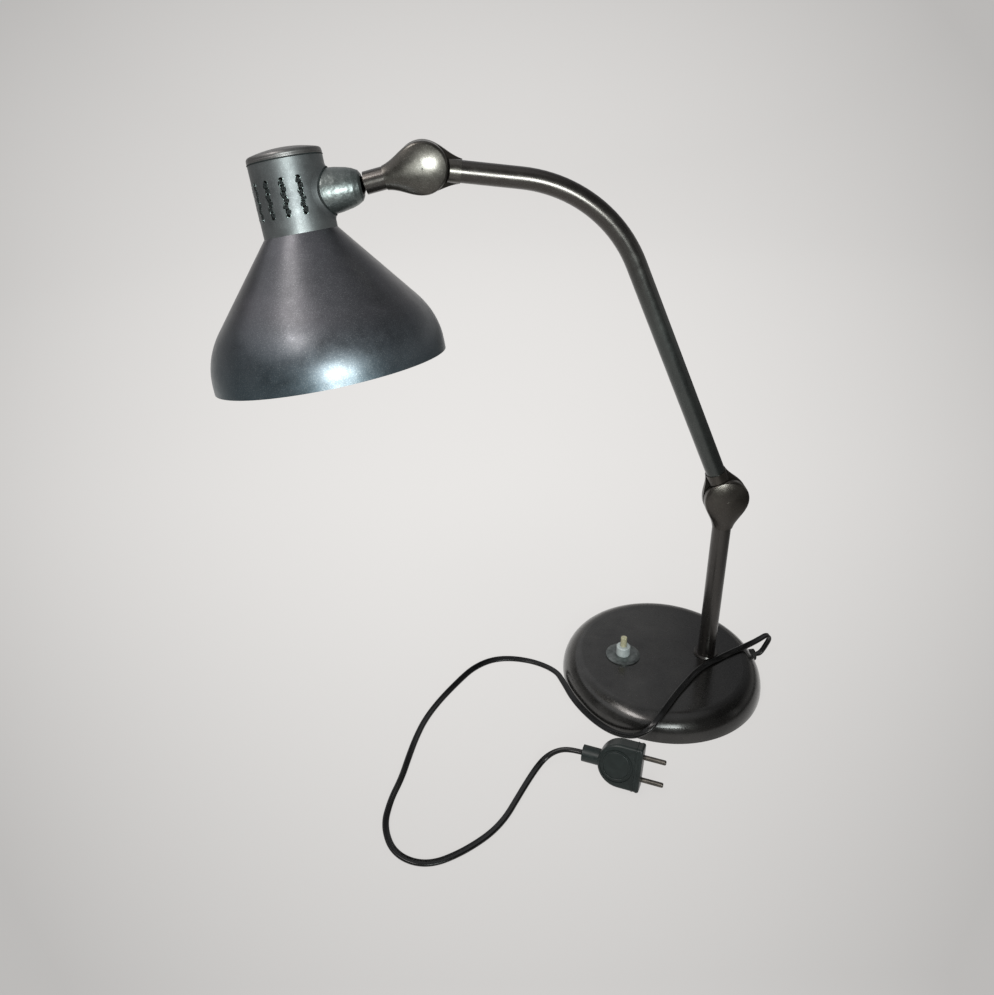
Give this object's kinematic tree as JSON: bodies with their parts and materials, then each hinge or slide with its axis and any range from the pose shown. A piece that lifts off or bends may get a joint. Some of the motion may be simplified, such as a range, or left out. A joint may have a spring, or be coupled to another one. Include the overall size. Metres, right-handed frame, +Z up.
{
  "type": "desk lamp",
  "caption": "Desk lamp with a round weighted base, push switch, fixed stem, hinged bent arm, short hinged neck and a conical shade with a vented cap on a ball joint.",
  "frame": {"origin": "centre of the round base on the desk", "axes": "+Z up; the stem stands on the +X side of the base and the arm reaches back over it towards -X, in the XZ plane; -Y faces the side from which the lamp is pictured"},
  "size_m": [0.4805, 0.2976, 0.4886],
  "materials": {
    "base_lacquer": "dark charcoal lacquer, soft gloss",
    "graphite_tube": "graphite metallic lacquer",
    "graphite_casting": "graphite metallic lacquer over a casting",
    "graphite_sheet": "graphite metallic lacquer over spun sheet",
    "cast_weight": "raw cast iron",
    "zinc_steel": "zinc plated",
    "felt": "dark felt",
    "washer_fibre": "fibre",
    "black_rubber": "matt",
    "black_plastic": "moulded phenolic",
    "grey_plastic": "light grey moulding",
    "cream_plastic": "cream moulding",
    "brass": "nickel plated brass",
    "ceramic": "glazed steatite",
    "bulb_metal": "bare",
    "bulb_glass": "frosted",
    "cord_plastic": "black flex",
    "plug_plastic": "black-green moulding",
    "lead_plastic": "flex"
  },
  "bodies": {
    "base": {"base_shell": "base_lacquer", "base_weight": "cast_weight", "base_plate": "zinc_steel", "base_felt": "felt", "base_screws": "zinc_steel", "stem_tube": "graphite_tube", "stem_nut": "zinc_steel", "stem_ferrule": "graphite_tube", "cord_grommet": "black_rubber", "cord_clamp": "black_plastic", "cord_clamp_screw": "zinc_steel", "switch_body": "black_plastic", "switch_rosette": "graphite_tube", "switch_collar_nut": "grey_plastic", "elbow_knuckle_stem": "graphite_casting", "elbow_pivot_bolt": "zinc_steel", "elbow_spring_washer": "zinc_steel", "elbow_friction_washer": "washer_fibre", "mains_cord": "cord_plastic", "plug_body": "plug_plastic", "plug_face": "plug_plastic", "plug_pins": "brass", "lead_base": "lead_plastic", "lead_stem": "lead_plastic"},
    "plunger": {"switch_plunger": "cream_plastic"},
    "arm": {"arm_tube": "graphite_tube", "elbow_knuckle_arm": "graphite_casting", "wrist_knuckle_arm": "graphite_casting", "lead_arm": "lead_plastic"},
    "neck": {"wrist_knuckle_neck": "graphite_casting", "wrist_pivot_bolt": "zinc_steel", "wrist_spring_washer": "zinc_steel", "wrist_friction_washer": "washer_fibre", "neck_tube": "graphite_tube", "lead_neck": "lead_plastic"},
    "ball": {"ball_stud": "zinc_steel", "swivel_nut": "zinc_steel"},
    "head": {"ball_socket": "graphite_casting", "collar_base": "zinc_steel", "ball_seat": "washer_fibre", "collar_saddle": "zinc_steel", "collar_nut": "zinc_steel", "cap_shell": "graphite_sheet", "cap_lid": "graphite_sheet", "shade": "graphite_sheet", "holder_bridge": "zinc_steel", "nipple": "brass", "nipple_nut": "brass", "lampholder_cap": "black_plastic", "lampholder_body": "black_plastic", "shade_ring": "black_plastic", "lampholder_insulator": "ceramic", "centre_contact": "brass", "bulb_cap": "bulb_metal", "bulb_glass": "bulb_glass"}
  },
  "joints": [
    {"name": "switch_press", "type": "slide", "parent": "base", "child": "plunger", "axis": [0, 0, -1], "range_m": [0, 0.0035], "stiffness_N_per_m": 600},
    {"name": "elbow_tilt", "type": "hinge", "parent": "base", "child": "arm", "pos_m": [0.0421, 0, 0.1911], "axis": [0, 1, 0], "range_deg": [-38, 75]},
    {"name": "wrist_tilt", "type": "hinge", "parent": "arm", "child": "neck", "pos_m": [-0.2064, 0, 0.4697], "axis": [0, 1, 0], "range_deg": [-55, 90]},
    {"name": "head_swivel", "type": "hinge", "parent": "neck", "child": "ball", "pos_m": [-0.25921, 0, 0.45704], "axis": [-0.9725, 0, -0.2331], "range_deg": [-170, 170]},
    {"name": "head_tilt", "type": "hinge", "parent": "ball", "child": "head", "pos_m": [-0.25921, 0, 0.45704], "axis": [0, 1, 0], "range_deg": [-20, 12]}
  ]
}
